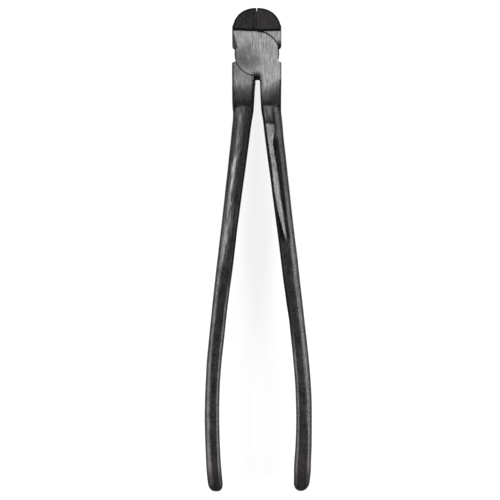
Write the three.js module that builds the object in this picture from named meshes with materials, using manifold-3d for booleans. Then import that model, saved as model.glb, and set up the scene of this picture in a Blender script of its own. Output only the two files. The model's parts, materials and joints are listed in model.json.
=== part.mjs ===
// A long-handled wire cutter with end-cutting jaws, closed and lying flat.
// It is two like forgings, one turned over on the other, held by one flush rivet.
// Millimetres. The tool lies along Y with its jaws at +Y, and the pivot runs along Z.
import * as THREE from "three";
import { mergeVertices } from "three/addons/utils/BufferGeometryUtils.js";
import Module from "manifold-3d";

const wasm = await Module();
wasm.setup();

// Whole tool
const TOOL_LENGTH = 356;
const HEAD_WIDTH = 36.1;
const CUTTER_OVERRUN = 6;

// Lap joint: the round lap on each lever turns in a round seat in the other
const JOINT_THICKNESS = 16;
const LAP_RADIUS = 16.45;
const LAP_FACE_GAP = 0.2;
const LAP_RIM_GAP = 0.45;
const LAP_RIM_CHAMFER = 0.45;
const LAP_ROUND_STEPS = 96;

// Jaw: half of a D-shaped block, with an outside bevel at the cutting edge and a mouth behind it
const JAW_HEIGHT = 16.8;
const JAW_EDGE_LENGTH = 28;
const JAW_BASE_THICKNESS = 24;
const JAW_DOME_HEIGHT = 18.1;
const JAW_DOME_EXPONENT = 2.25;
const JAW_DOME_STEPS = 16;
const JAW_GAP = 0.1;
const JAW_SIDE_BEVEL = 0.9;
const JAW_BEVEL_STEPS = 2;
const NOTCH_WIDTH = 1;
const NOTCH_DEPTH = 3;
const EDGE_LAND = 1.2;
const MOUTH_LENGTH = 7.6;
const MOUTH_WIDTH = 0.6;
const MOUTH_STEPS = 8;

// Neck: carries the jaw on the lap, and stops against the other lever's leg when fully open
const NECK_SHOULDER_DEG = 11.3;
const NECK_CORNER = 1.9;
const NECK_INTO_JAW = 4;
const LAP_SIDE_WEDGE_TOP = 14.5;
const LAP_SIDE_WEDGE_FOOT = 3.6;
const LAP_SIDE_WEDGE_INSET = 2.8;
const LAP_SIDE_WEDGE_DROP = 2.6;
const SEAT_SIDE_WEDGE_TOP = 10.9;
const SEAT_SIDE_WEDGE_FOOT = 8.1;
const SEAT_SIDE_WEDGE_INSET = 5;
const SEAT_SIDE_WEDGE_DROP = 3.4;
const WEDGE_RUN = 6;
const CORNER_STEPS = 4;

// Leg: from its shoulder down to the ridge where the grinding wheel ran out of the joint face
const LEG_SHOULDER_DEG = 20.1;
const LEG_CORNER = 0.9;
const LEG_SLOT_WIDTH = 3.5;
const LEG_INNER_DRAFT = 1;
const FLAT_PAST_LAP = 2.65;
const RIDGE_BELOW_PIVOT = 37.9;
const SHANK_DEPTH = 18.8;
const WHEEL_STEPS = 8;

// Web: the sloping foot of the lap, between the two legs
const WEB_DROP = 3.05;
const WEB_LIP = 1.1;
const WEB_SLOPE_INSET = 0.6;

// Handle: a leaning, tapering bar that bows outwards and comes back in to a domed end
const KNEE_BELOW_PIVOT = 43;
const KNEE_WIDTH = 14.4;
const FRONT_GRIP_WIDTH = 11.5;
const BACK_GRIP_WIDTH = 10.6;
const GRIP_DEPTH = 13.6;
const GRIP_LENGTH = 107.3;
const WIDTH_TAPER_EXPONENT = 1.5;
const BOW_RADIUS = 450;
const BOW_ABOVE_END = 54.3;
const BOW_SPREAD = 67.9;
const FLANK_WIDTH_SHARE = 0.29;
const FLANK_DEPTH_SHARE = 0.27;
const FLANK_BULGE_SHARE = 0.4;
const FLANK_BLEND_LENGTH = 24;
const END_DOME_LENGTH = 8;
const TAPER_STATIONS = 12;
const BOW_STATIONS = 9;
const DOME_STATIONS = 7;

// Rivet: a straight shank with a countersunk head at each end, ground level with the joint
const RIVET_SHANK_RADIUS = 5.5;
const RIVET_HEAD_RADIUS = 7.6;
const RIVET_HEAD_DEPTH = 2.1;
const RIVET_CLEARANCE = 0.1;
const RIVET_SET_BELOW_FACE = 0.03;
const RIVET_ROUND_STEPS = 72;

// Worked out from the sizes above
const HALF_JOINT = JOINT_THICKNESS / 2;
const HALF_HEAD = HEAD_WIDTH / 2;
const HALF_SHANK = SHANK_DEPTH / 2;
const HALF_GRIP_DEPTH = GRIP_DEPTH / 2;
const SEAT_RADIUS = LAP_RADIUS + LAP_RIM_GAP;
const TIP_ABOVE_PIVOT = SEAT_RADIUS + JAW_HEIGHT;
const FLAT_END_BELOW_PIVOT = LAP_RADIUS + FLAT_PAST_LAP;
const LAP_FACE = LAP_FACE_GAP / 2;
const JAW_FACE = JAW_GAP / 2;
const LEG_INNER = (LEG_SLOT_WIDTH + LEG_INNER_DRAFT) / 2;
const END_BELOW_PIVOT = TOOL_LENGTH - TIP_ABOVE_PIVOT;
const TAPER_END_BELOW_PIVOT = END_BELOW_PIVOT - GRIP_LENGTH;
const NECK_SHOULDER = THREE.MathUtils.degToRad(NECK_SHOULDER_DEG);
const LEG_SHOULDER = THREE.MathUtils.degToRad(LEG_SHOULDER_DEG);

const BLACKENED_FORGING = { color: 0x2c2b2c, roughness: 0.42, metalness: 0.7 };
const RIVET_STEEL = { color: 0x9a9a9a, roughness: 0.35, metalness: 1 };

// Geometry to solid and back. A solid here is always one closed body.

function toSolid(geometry) {
  geometry.deleteAttribute("normal");
  geometry.deleteAttribute("uv");
  const merged = mergeVertices(geometry);
  const vertProperties = new Float32Array(merged.attributes.position.array);
  const triVerts = new Uint32Array(merged.index.array);
  return new wasm.Manifold(new wasm.Mesh({ numProp: 3, vertProperties, triVerts }));
}

function toNode(solid, name, finish) {
  const { vertProperties, triVerts } = solid.getMesh();
  const geometry = new THREE.BufferGeometry();
  geometry.setAttribute("position", new THREE.BufferAttribute(vertProperties, 3));
  geometry.setIndex(new THREE.BufferAttribute(triVerts, 1));
  geometry.computeVertexNormals();
  const mesh = new THREE.Mesh(geometry, new THREE.MeshStandardMaterial(finish));
  mesh.name = name;
  return mesh;
}

function outlineOf(points) {
  return new THREE.Shape(points.map(([u, v]) => new THREE.Vector2(u, v)));
}

// A plan outline in X and Y, between two heights
function plate(shape, bottom, top) {
  const options = { depth: top - bottom, bevelEnabled: false, curveSegments: MOUTH_STEPS };
  const geometry = new THREE.ExtrudeGeometry(shape, options);
  geometry.translate(0, 0, bottom);
  return toSolid(geometry);
}

// A section given as [u, v] points, drawn out along a direction square to u and v
function drawnOut(section, uAxis, vAxis, start, length) {
  const options = { depth: length, bevelEnabled: false };
  const geometry = new THREE.ExtrudeGeometry(outlineOf(section), options);
  const along = new THREE.Vector3().crossVectors(uAxis, vAxis);
  geometry.applyMatrix4(new THREE.Matrix4().makeBasis(uAxis, vAxis, along));
  geometry.translate(start.x, start.y, start.z);
  return toSolid(geometry);
}

// A side section given as [y, z] points, between two places across the tool
function barAcross(section, left, right) {
  const yAxis = new THREE.Vector3(0, 1, 0);
  const zAxis = new THREE.Vector3(0, 0, 1);
  return drawnOut(section, yAxis, zAxis, new THREE.Vector3(left, 0, 0), right - left);
}

// A body turned about the pivot, from [radius, z] points that rise from the axis and return to it
function turned(profile, steps) {
  const points = profile.map(([radius, z]) => new THREE.Vector2(radius, z));
  const geometry = new THREE.LatheGeometry(points, steps);
  geometry.rotateX(Math.PI / 2);
  return toSolid(geometry);
}

// A point on a line through the pivot, at an angle from +X
function polar(radius, angle) {
  return [radius * Math.cos(angle), radius * Math.sin(angle)];
}

// A corner softened by a curve that starts and ends a set length away from it
function softCorner(corner, before, after, length) {
  const apex = new THREE.Vector2(...corner);
  const [start, end] = [before, after].map((point) => {
    const side = new THREE.Vector2(...point).sub(apex);
    return side.setLength(length).add(apex);
  });
  const curve = new THREE.QuadraticBezierCurve(start, apex, end);
  return curve.getPoints(CORNER_STEPS).map((point) => [point.x, point.y]);
}

// Jaw of the lever, at its left seen from above, wider than the joint is thick

function domeOutline() {
  const springY = TIP_ABOVE_PIVOT - JAW_DOME_HEIGHT;
  const power = 2 / JAW_DOME_EXPONENT;
  const points = [];
  for (let step = 0; step < JAW_DOME_STEPS; step += 1) {
    const angle = (Math.PI / 2) * (step / JAW_DOME_STEPS);
    const x = -HALF_HEAD * Math.cos(angle) ** power;
    const y = springY + JAW_DOME_HEIGHT * Math.sin(angle) ** power;
    points.push([x, y]);
  }
  return points;
}

function jawBlock() {
  const belowBase = -CUTTER_OVERRUN;
  const outline = [
    ...domeOutline().reverse(),
    [-HALF_HEAD, belowBase],
    [-JAW_FACE, belowBase],
    [-JAW_FACE, TIP_ABOVE_PIVOT],
  ];
  const geometry = new THREE.ExtrudeGeometry(outlineOf(outline), {
    depth: JAW_EDGE_LENGTH - 2 * JAW_SIDE_BEVEL,
    bevelThickness: JAW_SIDE_BEVEL,
    bevelSize: JAW_SIDE_BEVEL,
    bevelOffset: -JAW_SIDE_BEVEL,
    bevelSegments: JAW_BEVEL_STEPS,
  });
  geometry.translate(0, 0, JAW_SIDE_BEVEL - JAW_EDGE_LENGTH / 2);
  const fullAt = TIP_ABOVE_PIVOT - JAW_SIDE_BEVEL;
  const flare = (JAW_EDGE_LENGTH - JAW_BASE_THICKNESS) / (fullAt - SEAT_RADIUS);
  const place = geometry.attributes.position;
  for (let i = 0; i < place.count; i += 1) {
    const thickness = JAW_EDGE_LENGTH - flare * (fullAt - place.getY(i));
    place.setZ(i, place.getZ(i) * (thickness / JAW_EDGE_LENGTH));
  }
  return toSolid(geometry);
}

// Squares the jaw's foot off just above the lap, with a chamfer at each side
function jawFootCutter() {
  const edge = JAW_BASE_THICKNESS / 2 - JAW_SIDE_BEVEL;
  const wide = edge + CUTTER_OVERRUN;
  const section = [
    [SEAT_RADIUS, -edge],
    [SEAT_RADIUS, edge],
    [SEAT_RADIUS + CUTTER_OVERRUN, wide],
    [-HEAD_WIDTH, wide],
    [-HEAD_WIDTH, -wide],
    [SEAT_RADIUS + CUTTER_OVERRUN, -wide],
  ];
  return barAcross(section, -HEAD_WIDTH, HEAD_WIDTH);
}

// The V between the two outside bevels of the cutting edges
function notchCutter() {
  const outline = outlineOf([
    [0, TIP_ABOVE_PIVOT - NOTCH_DEPTH],
    [NOTCH_WIDTH / 2, TIP_ABOVE_PIVOT],
    [NOTCH_WIDTH / 2, TIP_ABOVE_PIVOT + CUTTER_OVERRUN],
    [-NOTCH_WIDTH / 2, TIP_ABOVE_PIVOT + CUTTER_OVERRUN],
    [-NOTCH_WIDTH / 2, TIP_ABOVE_PIVOT],
  ]);
  return plate(outline, -JAW_EDGE_LENGTH, JAW_EDGE_LENGTH);
}

// The eye-shaped relief behind the cutting edges
function mouthCutter() {
  const top = TIP_ABOVE_PIVOT - NOTCH_DEPTH - EDGE_LAND;
  const bottom = top - MOUTH_LENGTH;
  const middle = (top + bottom) / 2;
  const eye = new THREE.Shape();
  eye.moveTo(0, top);
  eye.quadraticCurveTo(-MOUTH_WIDTH, middle, 0, bottom);
  eye.quadraticCurveTo(MOUTH_WIDTH, middle, 0, top);
  return plate(eye, -JAW_EDGE_LENGTH, JAW_EDGE_LENGTH);
}

// Neck, with a slanting corner ground away on each face

function wedgeCutter(top, foot, inset, drop, side) {
  const from = new THREE.Vector3(-HALF_HEAD, top, 0);
  const to = new THREE.Vector3(-HALF_HEAD + inset, foot, 0);
  const along = new THREE.Vector3().subVectors(to, from).normalize();
  const outward = new THREE.Vector3(along.y, -along.x, 0);
  const up = new THREE.Vector3(0, 0, 1);
  const length = from.distanceTo(to) + CUTTER_OVERRUN;
  const end = from.clone().addScaledVector(along, length);
  const start = side > 0 ? end : from;
  const section = [
    [0, HALF_JOINT],
    [WEDGE_RUN, HALF_JOINT - drop],
    [WEDGE_RUN + CUTTER_OVERRUN, HALF_JOINT - drop],
    [WEDGE_RUN + CUTTER_OVERRUN, HALF_JOINT + CUTTER_OVERRUN],
    [0, HALF_JOINT + CUTTER_OVERRUN],
  ];
  return drawnOut(section, outward, up.multiplyScalar(side), start, length);
}

function neck() {
  const insideJaw = SEAT_RADIUS + NECK_INTO_JAW;
  const top = [-HALF_HEAD, insideJaw];
  const shoulder = [-HALF_HEAD, HALF_HEAD * Math.tan(NECK_SHOULDER)];
  const inner = polar(LAP_RADIUS / 2, Math.PI - NECK_SHOULDER);
  const outline = outlineOf([
    [-JAW_FACE, inner[1]],
    [-JAW_FACE, insideJaw],
    top,
    ...softCorner(shoulder, top, inner, NECK_CORNER),
    inner,
  ]);
  const lapSide = wedgeCutter(
    LAP_SIDE_WEDGE_TOP,
    LAP_SIDE_WEDGE_FOOT,
    LAP_SIDE_WEDGE_INSET,
    LAP_SIDE_WEDGE_DROP,
    1,
  );
  const seatSide = wedgeCutter(
    SEAT_SIDE_WEDGE_TOP,
    SEAT_SIDE_WEDGE_FOOT,
    SEAT_SIDE_WEDGE_INSET,
    SEAT_SIDE_WEDGE_DROP,
    -1,
  );
  return plate(outline, -HALF_JOINT, HALF_JOINT).subtract(lapSide).subtract(seatSide);
}

// Leg and handle in one bar, at the lever's right, as rings of points at stations down the tool

const KNEE_CENTRE = new THREE.Vector2(HALF_HEAD - KNEE_WIDTH / 2, -KNEE_BELOW_PIVOT);
const BOW_CENTRE = new THREE.Vector2(BOW_SPREAD / 2 - BOW_RADIUS, BOW_ABOVE_END - END_BELOW_PIVOT);
const BOW_TANGENT = tangentPoint(KNEE_CENTRE, BOW_CENTRE, BOW_RADIUS);

// Where the straight line from a point touches a circle, on the circle's right-hand side
function tangentPoint(from, centre, radius) {
  const back = new THREE.Vector2().subVectors(from, centre);
  const turn = back.angle() - Math.acos(radius / back.length());
  return new THREE.Vector2(...polar(radius, turn)).add(centre);
}

function handleCentre(below) {
  const { mapLinear } = THREE.MathUtils;
  if (below > -BOW_TANGENT.y) {
    const run = below + BOW_CENTRE.y;
    return BOW_CENTRE.x + Math.sqrt(BOW_RADIUS ** 2 - run ** 2);
  }
  if (below > KNEE_BELOW_PIVOT) {
    return mapLinear(-below, KNEE_CENTRE.y, BOW_TANGENT.y, KNEE_CENTRE.x, BOW_TANGENT.x);
  }
  const legCentre = (HALF_HEAD + LEG_INNER) / 2;
  return mapLinear(below, FLAT_END_BELOW_PIVOT, KNEE_BELOW_PIVOT, legCentre, KNEE_CENTRE.x);
}

function handleWidth(below, gripWidth) {
  if (below < KNEE_BELOW_PIVOT) {
    return THREE.MathUtils.mapLinear(
      below,
      FLAT_END_BELOW_PIVOT,
      KNEE_BELOW_PIVOT,
      HALF_HEAD - LEG_INNER,
      KNEE_WIDTH,
    );
  }
  const left = (TAPER_END_BELOW_PIVOT - below) / (TAPER_END_BELOW_PIVOT - KNEE_BELOW_PIVOT);
  const taper = Math.max(left, 0) ** WIDTH_TAPER_EXPONENT;
  return gripWidth + (KNEE_WIDTH - gripWidth) * taper;
}

function handleHalfDepth(below) {
  const left = (TAPER_END_BELOW_PIVOT - below) / (TAPER_END_BELOW_PIVOT - RIDGE_BELOW_PIVOT);
  return HALF_GRIP_DEPTH + (HALF_SHANK - HALF_GRIP_DEPTH) * THREE.MathUtils.clamp(left, 0, 1);
}

// One ring: a rectangle with soft slanting corners, leaning in towards the lap's face on the
// inside of the leg. The dome share shrinks it towards the handle's end.
function handleRing(below, gripWidth, domeShare) {
  const halfWidth = (handleWidth(below, gripWidth) / 2) * domeShare;
  const halfDepth = handleHalfDepth(below) * domeShare;
  const blend = THREE.MathUtils.clamp((below - RIDGE_BELOW_PIVOT) / FLANK_BLEND_LENGTH, 0, 1);
  const flankX = THREE.MathUtils.lerp(LEG_CORNER, 2 * halfWidth * FLANK_WIDTH_SHARE, blend);
  const flankZ = THREE.MathUtils.lerp(LEG_CORNER, 2 * halfDepth * FLANK_DEPTH_SHARE, blend);
  const upperLeg = (KNEE_BELOW_PIVOT - below) / (KNEE_BELOW_PIVOT - FLAT_END_BELOW_PIVOT);
  const draft = (LEG_INNER_DRAFT / 2) * THREE.MathUtils.clamp(upperLeg, 0, 1);
  const corner = [
    [halfWidth, halfDepth - flankZ],
    [halfWidth - FLANK_BULGE_SHARE * flankX, halfDepth - FLANK_BULGE_SHARE * flankZ],
    [halfWidth - flankX, halfDepth],
  ];
  const left = corner.map(([x, z]) => [-x, z]).reverse();
  const top = [...corner, ...left];
  const bottom = top.map(([x, z]) => [-x, -z]);
  const centre = handleCentre(below);
  return [...top, ...bottom].map(([x, z]) => {
    const lean = x < 0 ? (draft * z) / HALF_JOINT : 0;
    return [centre + x - lean, -below, z];
  });
}

function spread(from, to, count) {
  return Array.from({ length: count }, (_, i) => from + ((to - from) * i) / count);
}

function legAndHandle(gripWidth) {
  const domeStart = END_BELOW_PIVOT - END_DOME_LENGTH;
  const plain = [
    LAP_RADIUS / 4,
    FLAT_END_BELOW_PIVOT,
    RIDGE_BELOW_PIVOT,
    ...spread(KNEE_BELOW_PIVOT, -BOW_TANGENT.y, TAPER_STATIONS),
    ...spread(-BOW_TANGENT.y, domeStart, BOW_STATIONS),
  ];
  const rings = plain.map((below) => handleRing(below, gripWidth, 1));
  for (let step = 0; step < DOME_STATIONS; step += 1) {
    const angle = (Math.PI / 2) * (step / DOME_STATIONS);
    const below = domeStart + END_DOME_LENGTH * Math.sin(angle);
    rings.push(handleRing(below, gripWidth, Math.cos(angle)));
  }
  return skinned(rings, [handleCentre(END_BELOW_PIVOT), -END_BELOW_PIVOT, 0]);
}

// A closed skin over rings of equally many points, from a flat first ring to a point
function skinned(rings, tip) {
  const count = rings[0].length;
  const places = rings.flat();
  const tipIndex = places.length;
  places.push(tip);
  const faces = [];
  for (let ring = 0; ring + 1 < rings.length; ring += 1) {
    for (let i = 0; i < count; i += 1) {
      const a = ring * count + i;
      const b = ring * count + ((i + 1) % count);
      faces.push(a, b, a + count, b, b + count, a + count);
    }
  }
  const last = (rings.length - 1) * count;
  for (let i = 0; i < count; i += 1) {
    faces.push(last + i, last + ((i + 1) % count), tipIndex);
    if (i > 0 && i + 1 < count) {
      faces.push(0, i + 1, i);
    }
  }
  const geometry = new THREE.BufferGeometry();
  geometry.setAttribute("position", new THREE.Float32BufferAttribute(places.flat(), 3));
  geometry.setIndex(faces);
  return toSolid(geometry);
}

// The grinding wheel's path over one face: flat over the joint, then up and out at the ridge
function wheelCutter(side) {
  const run = RIDGE_BELOW_PIVOT - FLAT_END_BELOW_PIVOT;
  const rise = HALF_SHANK - HALF_JOINT;
  const radius = (run ** 2 + rise ** 2) / (2 * rise);
  const section = [[0, HALF_JOINT + CUTTER_OVERRUN], [0, HALF_JOINT]];
  const stepAngle = Math.asin(run / radius) / WHEEL_STEPS;
  for (let step = 0; step <= WHEEL_STEPS + 1; step += 1) {
    const angle = stepAngle * step;
    const y = -FLAT_END_BELOW_PIVOT - radius * Math.sin(angle);
    section.push([y, HALF_JOINT + radius * (1 - Math.cos(angle))]);
  }
  section.push([section.at(-1)[0], HALF_JOINT + CUTTER_OVERRUN]);
  const facing = section.map(([y, z]) => [y, z * side]);
  return barAcross(facing, -HEAD_WIDTH, HEAD_WIDTH);
}

// Clears the leg above its shoulder
function shoulderCutter() {
  const corner = [HALF_HEAD, -HALF_HEAD * Math.tan(LEG_SHOULDER)];
  const below = [HALF_HEAD, -FLAT_END_BELOW_PIVOT];
  const edge = softCorner(corner, [0, 0], below, LEG_CORNER);
  const outline = outlineOf([
    [0, 0],
    ...edge,
    [HALF_HEAD + CUTTER_OVERRUN, edge.at(-1)[1]],
    [HALF_HEAD + CUTTER_OVERRUN, HALF_HEAD],
    [0, HALF_HEAD],
  ]);
  return plate(outline, -JAW_EDGE_LENGTH, JAW_EDGE_LENGTH);
}

// Lap, the seat for the other lever's lap, and the rivet hole

function lap() {
  return turned(
    [
      [0, LAP_FACE],
      [LAP_RADIUS, LAP_FACE],
      [LAP_RADIUS, HALF_JOINT - LAP_RIM_CHAMFER],
      [LAP_RADIUS - LAP_RIM_CHAMFER, HALF_JOINT],
      [0, HALF_JOINT],
    ],
    LAP_ROUND_STEPS,
  );
}

function seatCutter() {
  return turned(
    [
      [0, -HALF_JOINT - CUTTER_OVERRUN],
      [SEAT_RADIUS, -HALF_JOINT - CUTTER_OVERRUN],
      [SEAT_RADIUS, LAP_FACE],
      [0, LAP_FACE],
    ],
    LAP_ROUND_STEPS,
  );
}

function web() {
  const foot = -LAP_RADIUS - WEB_DROP;
  const section = [
    [-LAP_RADIUS / 2, LAP_FACE],
    [foot, LAP_FACE],
    [foot, LAP_FACE + WEB_LIP],
    [-LAP_RADIUS + WEB_SLOPE_INSET, HALF_JOINT],
    [-LAP_RADIUS / 2, HALF_JOINT],
  ];
  return barAcross(section, LAP_RIM_GAP - LEG_INNER, LEG_SLOT_WIDTH);
}

function rivetProfile(clearance, setBelowFace) {
  const shank = RIVET_SHANK_RADIUS + clearance;
  const head = RIVET_HEAD_RADIUS + clearance;
  const neckZ = HALF_JOINT - RIVET_HEAD_DEPTH;
  const faceZ = HALF_JOINT - setBelowFace;
  return [
    [0, -faceZ],
    [head, -faceZ],
    [shank, -neckZ],
    [shank, neckZ],
    [head, faceZ],
    [0, faceZ],
  ];
}

function rivetHole() {
  const hole = turned(rivetProfile(RIVET_CLEARANCE, 0), RIVET_ROUND_STEPS);
  const reach = HALF_JOINT + CUTTER_OVERRUN;
  const head = RIVET_HEAD_RADIUS + RIVET_CLEARANCE;
  const mouth = turned([[0, -reach], [head, -reach], [head, -HALF_JOINT], [0, -HALF_JOINT]],
    RIVET_ROUND_STEPS);
  const otherMouth = turned([[0, HALF_JOINT], [head, HALF_JOINT], [head, reach], [0, reach]],
    RIVET_ROUND_STEPS);
  return hole.add(mouth).add(otherMouth);
}

function lever(gripWidth) {
  const bar = legAndHandle(gripWidth)
    .subtract(wheelCutter(1))
    .subtract(wheelCutter(-1))
    .subtract(shoulderCutter());
  const jaw = jawBlock()
    .subtract(jawFootCutter())
    .subtract(notchCutter())
    .subtract(mouthCutter());
  return bar
    .add(neck())
    .subtract(seatCutter())
    .add(jaw)
    .add(lap())
    .add(web())
    .subtract(rivetHole());
}

// The front lever has the left jaw and the right handle. The back one is the same, turned over.

const frontLever = toNode(lever(FRONT_GRIP_WIDTH), "front_lever", BLACKENED_FORGING);

const backLever = toNode(lever(BACK_GRIP_WIDTH), "back_lever", BLACKENED_FORGING);
backLever.rotation.y = Math.PI;

const rivetSolid = turned(rivetProfile(0, RIVET_SET_BELOW_FACE), RIVET_ROUND_STEPS);
const pivotRivet = toNode(rivetSolid, "pivot_rivet", RIVET_STEEL);

const wireCutter = new THREE.Group();
wireCutter.add(frontLever, backLever, pivotRivet);
wireCutter.position.set(0, TOOL_LENGTH / 2 - TIP_ABOVE_PIVOT, JAW_EDGE_LENGTH / 2);

export default wireCutter;
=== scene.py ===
import json
import math

import bmesh
import bpy
from mathutils import Matrix, Vector, noise


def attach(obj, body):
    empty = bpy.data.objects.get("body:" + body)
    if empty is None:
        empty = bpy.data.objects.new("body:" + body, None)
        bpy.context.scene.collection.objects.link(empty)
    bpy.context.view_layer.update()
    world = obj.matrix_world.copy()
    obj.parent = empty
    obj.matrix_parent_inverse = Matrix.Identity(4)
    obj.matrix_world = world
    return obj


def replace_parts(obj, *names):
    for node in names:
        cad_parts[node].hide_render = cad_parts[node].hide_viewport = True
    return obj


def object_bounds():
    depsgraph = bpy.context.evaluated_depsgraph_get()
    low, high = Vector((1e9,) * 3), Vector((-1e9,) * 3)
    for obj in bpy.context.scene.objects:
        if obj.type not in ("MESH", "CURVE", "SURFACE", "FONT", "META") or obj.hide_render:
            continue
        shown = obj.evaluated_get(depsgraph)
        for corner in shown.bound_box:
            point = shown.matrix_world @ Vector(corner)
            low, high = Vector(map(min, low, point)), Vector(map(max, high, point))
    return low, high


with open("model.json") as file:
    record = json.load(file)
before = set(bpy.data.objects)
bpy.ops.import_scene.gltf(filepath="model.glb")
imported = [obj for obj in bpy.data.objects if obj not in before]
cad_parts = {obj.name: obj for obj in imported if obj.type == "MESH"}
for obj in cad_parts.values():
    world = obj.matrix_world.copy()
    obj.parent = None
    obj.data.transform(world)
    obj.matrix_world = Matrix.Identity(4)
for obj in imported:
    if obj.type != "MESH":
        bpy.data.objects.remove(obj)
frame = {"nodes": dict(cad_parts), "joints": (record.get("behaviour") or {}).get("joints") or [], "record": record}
cad_low, cad_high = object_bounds()

# The two levers.
# Each is one drop forging of carbon steel: half of the jaw, a round lap, a leg and a handle. Both
# came from one die and one lies turned over; the joint faces are wheel ground, the rest is black.
# Sizes are millimetres from the pivot, with the jaw at +Y, the handle at +X and the lap at +Z.

MM = 0.001
pivot = Vector(frame["joints"][0]["pos_m"])
faces = {mount["name"]: Vector(mount["pos_m"]) for mount in frame["record"]["mounts"]}

HALF_JOINT = (faces["front_joint_face"].z - faces["back_joint_face"].z) / 2 / MM
HALF_EDGE = (cad_high.z - cad_low.z) / 2 / MM
TIP = (cad_high.y - pivot.y) / MM
END = (pivot.y - cad_low.y) / MM
OVERRUN = 6

LAP_RADIUS = 16.45
SEAT_RADIUS = 16.65
LAP_RIM_ROUNDING = 0.3
LAP_FACE = 0.1
LAP_BLANK_DEPTH = 3
ROUND_SEGMENTS = 144

RIVET_SHANK_RADIUS = 5.55
RIVET_HEAD_RADIUS = 7.62
RIVET_HEAD_DEPTH = 2.1

SKIN_STEP = 0.48
SKIN_SMOOTHING = 0.5
CRISP_EDGE = math.radians(40)
WELD = 0.01
ROUNDING_SEGMENTS = 3

# The forgings differ a little in how they were hit, trimmed and worn, and in their painted shade
# and painted highlights. Each table has rows that start with a distance below the pivot. "lean" and
# "swell" shift and widen the handle, "strip" holds the ground strip's two edges, and the rest say
# how dark a side is, mostly by painted shade, or how worn a crest is, which also gets a painted
# highlight.
# "worn_face" is the face that hands have worn: 1 is the lap's and -1 the seat's.

FRONT_TRAITS = {
    "seed": 3.1,
    "grip_width": 11.5,
    "jaw_foot_rise": 0.9,
    "web_fillet": 0.6,
    "lean": (
        (21, 0),
        (26, -0.2),
        (30, -0.33),
        (41, -0.4),
        (46, -0.22),
        (50, -0.15),
        (62, -0.4),
        (100, -0.35),
        (152, -0.17),
        (167, -0.25),
        (185, -0.17),
        (196, 0),
        (226, -0.3),
        (300, -0.2),
        (307, 0.14),
        (314, 0.4),
    ),
    "swell": (
        (21, 0),
        (26, 0.1),
        (30, 0.25),
        (42, 0.25),
        (48, 0),
        (60, 0),
        (140, 0.15),
        (152, 0.5),
        (182, 0.4),
        (196, 0.05),
        (255, 0.4),
        (270, 0.15),
        (285, 0.6),
        (307, 1.3),
        (314, 0.5),
        (320, 0),
    ),
    "end_exponent": 2.15,
    "outer_flank": ((250, 0.38), (285, 0.26), (322, 0.2)),
    "inner_flank": ((150, 0.13), (190, 0.19)),
    "flank_shade": ((38, 0.1), (50, 0.35), (95, 0.35), (112, 0)),
    "inner_top_shade": ((38, 0.1), (52, 0.3), (60, 0.9), (112, 0.9), (135, 0)),
    "inner_side_shade_end": 190,
    "inner_shade": -0.2,
    "seam_shade": 0.45,
    "worn_face": 1,
    "run_out_slant": 0.5,
    "leg_loss": 0,
    "strip": (
        (50.5, 2.3, 3.0),
        (52.5, 2.2, 7.6),
        (56, 2.2, 7.8),
        (62, 2.2, 6.2),
        (67, 2.2, 5.0),
        (78, 2.5, 5.4),
        (93, 2.2, 5.9),
        (108, 2.1, 5.6),
        (115, 2.6, 6.0),
        (123, 3.6, 5.9),
        (137, 5.4, 6.6),
        (141, 6.2, 6.5),
    ),
    "bright_spot": (10, 4.2, 0.75),
    "jaw_browned": 0,
    "groove_shade": 0.75,
    "crest": ((44, 6, 0.05),),
}
BACK_TRAITS = {
    "seed": 8.7,
    "grip_width": 10.6,
    "jaw_foot_rise": 0.2,
    "web_fillet": 2.2,
    "lean": (
        (19, -0.2),
        (21, -0.55),
        (25, -0.4),
        (35, -0.43),
        (39, -0.5),
        (45, -0.72),
        (49, -0.71),
        (56, -0.63),
        (62, -0.65),
        (90, -0.4),
        (130, 0.1),
        (152, 0.2),
        (185, 0.5),
        (211, 0.3),
        (240, 0.14),
        (290, 0.14),
        (307, 0.5),
    ),
    "swell": (
        (19, 0.9),
        (21, 1.5),
        (25, 1.42),
        (35, 1.42),
        (39, 1.28),
        (45, 0.45),
        (49, 0.05),
        (58, 0),
        (130, 0.3),
        (152, 0.9),
        (211, 0.75),
        (226, 0.6),
        (240, 0.2),
        (307, 0.5),
        (322, 0.3),
    ),
    "end_exponent": 2.5,
    "outer_flank": ((38, 0.40), (150, 0.40), (170, 0.31), (220, 0.31), (250, 0.37)),
    "inner_flank": ((150, 0.13), (190, 0.20)),
    "flank_shade": ((38, 0.1), (50, 0.6), (80, 0.65), (110, 0.35), (150, 0)),
    "inner_top_shade": ((38, 1), (60, 1), (100, 0.6), (140, 0)),
    "inner_side_shade_end": 150,
    "inner_shade": 0.9,
    "seam_shade": 0,
    "worn_face": -1,
    "run_out_slant": 0.0,
    "leg_loss": 0.3,
    "strip": (),
    "bright_spot": (7.6, 3.8, 0.35),
    "jaw_browned": 1,
    "groove_shade": 0,
    "crest": (
        (42, 6.6, 0),
        (46, 6.5, 0.6),
        (70, 6.3, 0.75),
        (79, 5.3, 1),
        (93, 5.2, 1),
        (104, 5, 0.5),
        (112, 5.6, 0.7),
        (122, 6.2, 1),
        (137, 5.7, 1),
        (147, 5.4, 0.4),
        (158, 5.4, 0),
    ),
}


def at_station(table, below):
    """The values of a table at a distance below the pivot, each a straight blend of two rows."""
    before = [row for row in table if row[0] <= below] or [table[0]]
    after = [row for row in table if row[0] > below] or [table[-1]]
    low, high = before[-1], after[0]
    share = min(max((below - low[0]) / max(high[0] - low[0], SKIN_STEP), 0), 1)
    return [first + (last - first) * share for first, last in zip(low[1:], high[1:])]


def rise(low, high, value):
    """0 on one side of two values, 1 on the other, and a smooth rise between them."""
    share = min(max((value - low) / (high - low), 0), 1)
    return share * share * (3 - 2 * share)


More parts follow.
